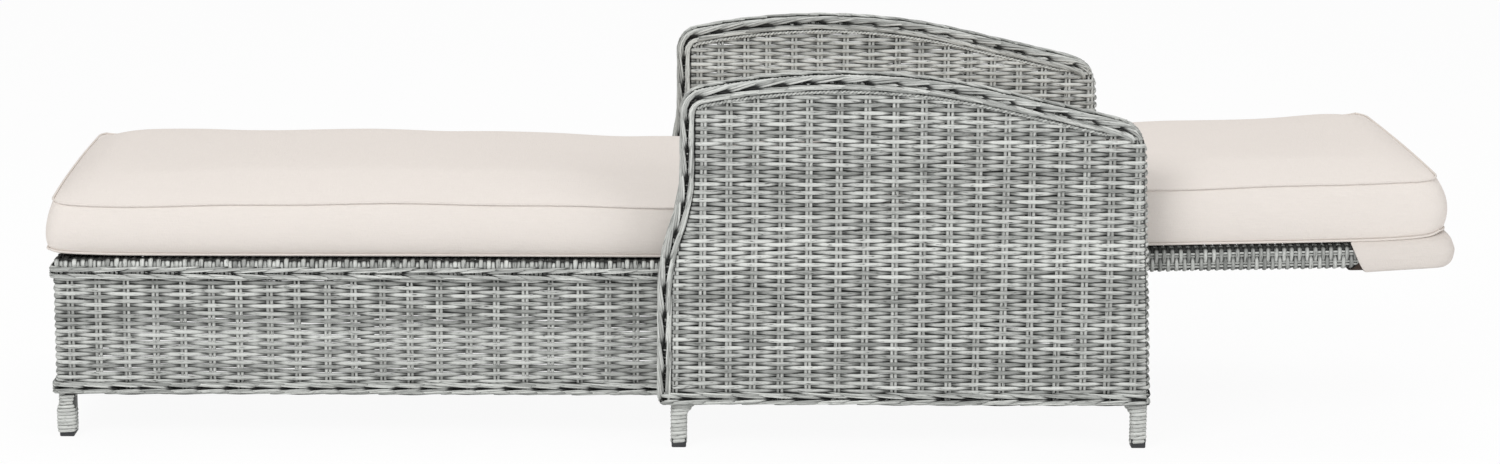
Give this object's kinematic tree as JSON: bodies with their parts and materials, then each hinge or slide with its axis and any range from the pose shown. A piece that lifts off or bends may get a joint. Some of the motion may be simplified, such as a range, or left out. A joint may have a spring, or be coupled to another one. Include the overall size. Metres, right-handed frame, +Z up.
{
  "type": "sun lounger",
  "caption": "Woven garden lounger lying flat: long box base, thick shaped arms, short capped legs, a hinged back with a prop stay, seat and back cushions and a fabric head pocket.",
  "frame": {"origin": "on the ground, below the middle of the lounger's length and width with the back lying flat", "axes": "+X from the foot end towards the head end, +Y towards the far arm of the picture, +Z up"},
  "size_m": [2.2, 0.72, 0.585],
  "materials": {
    "woven_wicker": "round polyethylene strands, streaked light grey",
    "cushion_fabric": "pale cream outdoor canvas",
    "frame_tube": "grey powder coat",
    "fitting_steel": "zinc plated, satin",
    "cap_plastic": "moulded, matt",
    "washer_plastic": "smooth nylon",
    "buffer_rubber": "matt"
  },
  "bodies": {
    "base": {"base_bottom_rail_right": "frame_tube", "base_bottom_rail_left": "frame_tube", "base_top_rail_right": "frame_tube", "base_top_rail_left": "frame_tube", "base_rear_side_rail_right": "frame_tube", "base_rear_side_rail_left": "frame_tube", "foot_cross_rails": "frame_tube", "hinge_cross_rail": "frame_tube", "rear_cross_rails": "frame_tube", "base_posts": "frame_tube", "deck_bars": "frame_tube", "seat_deck": "woven_wicker", "base_side_skin_right": "woven_wicker", "base_side_skin_left": "woven_wicker", "base_foot_skin": "woven_wicker", "base_rear_skin": "woven_wicker", "base_top_plait": "woven_wicker", "base_bottom_plait": "woven_wicker", "arm_shell_right": "woven_wicker", "arm_shell_left": "woven_wicker", "arm_frame_right": "frame_tube", "arm_frame_left": "frame_tube", "arm_plaits_right": "woven_wicker", "arm_plaits_left": "woven_wicker", "foot_leg_tubes": "frame_tube", "arm_front_leg_tubes": "frame_tube", "arm_rear_leg_tubes": "frame_tube", "foot_leg_wraps": "woven_wicker", "arm_front_leg_wraps": "woven_wicker", "arm_rear_leg_wraps": "woven_wicker", "leg_caps": "cap_plastic", "arm_bolts": "fitting_steel", "arm_spacers": "frame_tube", "hinge_plate_right": "fitting_steel", "hinge_plate_left": "fitting_steel", "hinge_pins": "fitting_steel", "hinge_washers": "washer_plastic", "hinge_screws": "fitting_steel", "stay_rack_right": "fitting_steel", "stay_rack_left": "fitting_steel", "rest_buffers": "buffer_rubber", "seat_cushion": "cushion_fabric"},
    "back": {"back_side_rail_right": "frame_tube", "back_side_rail_left": "frame_tube", "back_bars": "frame_tube", "back_deck": "woven_wicker", "back_edge_wrap_right": "woven_wicker", "back_edge_wrap_left": "woven_wicker", "head_roll": "woven_wicker", "hinge_ear_right": "fitting_steel", "hinge_ear_left": "fitting_steel", "stay_shaft": "fitting_steel", "back_cushion": "cushion_fabric", "head_pocket": "cushion_fabric"},
    "stay": {"stay_leg_right": "fitting_steel", "stay_leg_left": "fitting_steel", "stay_foot_bar": "fitting_steel"}
  },
  "joints": [
    {"name": "back_recline", "type": "hinge", "parent": "base", "child": "back", "pos_m": [0.3, 0, 0.35], "axis": [0, -1, 0], "range_deg": [0, 64]},
    {"name": "stay_swing", "type": "hinge", "parent": "back", "child": "stay", "pos_m": [0.4315, 0, 0.27974], "axis": [0, -1, 0], "range_deg": [-118, 0]}
  ],
  "couplings": [
    {"joint": "stay_swing", "follows": "back_recline", "ratio": -1.8287}
  ]
}
